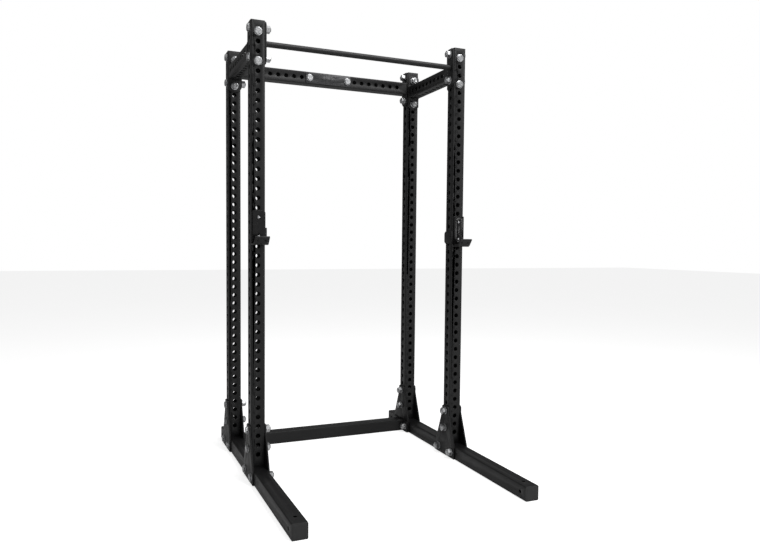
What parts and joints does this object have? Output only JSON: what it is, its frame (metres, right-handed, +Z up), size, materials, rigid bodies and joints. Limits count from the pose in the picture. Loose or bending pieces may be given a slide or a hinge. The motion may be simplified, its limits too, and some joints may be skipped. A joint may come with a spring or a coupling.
{
  "type": "power cage",
  "caption": "Free-standing black steel power cage with drilled square uprights on two long base tubes, a round pull-up bar and a pair of lift-out barbell cups.",
  "frame": {"origin": "on the floor, midway between the left and right base tubes and midway along them", "axes": "+X to the right of a person who faces the open front of the cage, +Y from front to rear, +Z up"},
  "size_m": [1.3, 1.665, 2.4],
  "materials": {
    "powder_coat": "satin fine-texture black powder coat",
    "zinc_plate": "bright zinc-plated steel",
    "cap_plastic": "black moulded plastic",
    "liner_plastic": "black machined polyethylene sheet",
    "name_plate_steel": "brushed steel under a dark tinted lacquer"
  },
  "bodies": {
    "cage": {"front_left_upright": "powder_coat", "front_right_upright": "powder_coat", "rear_left_upright": "powder_coat", "rear_right_upright": "powder_coat", "front_left_top_cap": "cap_plastic", "front_right_top_cap": "cap_plastic", "rear_left_top_cap": "cap_plastic", "rear_right_top_cap": "cap_plastic", "left_base_tube": "powder_coat", "right_base_tube": "powder_coat", "left_front_foot_cap": "cap_plastic", "right_front_foot_cap": "cap_plastic", "left_rear_foot_cap": "cap_plastic", "right_rear_foot_cap": "cap_plastic", "front_left_outer_gusset": "powder_coat", "front_left_inner_gusset": "powder_coat", "front_right_outer_gusset": "powder_coat", "front_right_inner_gusset": "powder_coat", "rear_left_outer_gusset": "powder_coat", "rear_left_inner_gusset": "powder_coat", "rear_right_outer_gusset": "powder_coat", "rear_right_inner_gusset": "powder_coat", "left_gusset_bolts": "zinc_plate", "left_gusset_washers": "zinc_plate", "left_gusset_nuts": "zinc_plate", "right_gusset_bolts": "zinc_plate", "right_gusset_washers": "zinc_plate", "right_gusset_nuts": "zinc_plate", "rear_base_crossmember": "powder_coat", "rear_top_crossmember": "powder_coat", "left_top_crossmember": "powder_coat", "right_top_crossmember": "powder_coat", "side_crossmember_bolts": "zinc_plate", "side_crossmember_washers": "zinc_plate", "side_crossmember_nuts": "zinc_plate", "rear_crossmember_bolts": "zinc_plate", "rear_crossmember_washers": "zinc_plate", "rear_crossmember_nuts": "zinc_plate", "pull_up_bar": "powder_coat", "pull_up_bar_bolts": "zinc_plate", "pull_up_bar_washers": "zinc_plate", "pull_up_bar_nuts": "zinc_plate", "name_plate": "name_plate_steel", "name_plate_bolts": "zinc_plate", "name_plate_washers": "zinc_plate", "name_plate_nuts": "zinc_plate"},
    "left_pin": {"left_cup_pin": "zinc_plate", "left_cup_pin_screw": "zinc_plate"},
    "left_cup": {"left_cup_bracket": "powder_coat", "left_cup_back_liner": "liner_plastic", "left_cup_rest_liner": "liner_plastic", "left_cup_screws": "zinc_plate"},
    "right_pin": {"right_cup_pin": "zinc_plate", "right_cup_pin_screw": "zinc_plate"},
    "right_cup": {"right_cup_bracket": "powder_coat", "right_cup_back_liner": "liner_plastic", "right_cup_rest_liner": "liner_plastic", "right_cup_screws": "zinc_plate"}
  },
  "joints": [
    {"name": "left_pin_pull", "type": "slide", "parent": "cage", "child": "left_pin", "axis": [0, -1, 0], "range_m": [0, 0.1]},
    {"name": "left_cup_turn", "type": "hinge", "parent": "left_pin", "child": "left_cup", "pos_m": [-0.5925, -0.0525, 1.3925], "axis": [0, -1, 0], "range_deg": [0, 90]},
    {"name": "right_pin_pull", "type": "slide", "parent": "cage", "child": "right_pin", "axis": [0, -1, 0], "range_m": [0, 0.1]},
    {"name": "right_cup_turn", "type": "hinge", "parent": "right_pin", "child": "right_cup", "pos_m": [0.5925, -0.0525, 1.3925], "axis": [0, 1, 0], "range_deg": [0, 90]}
  ]
}
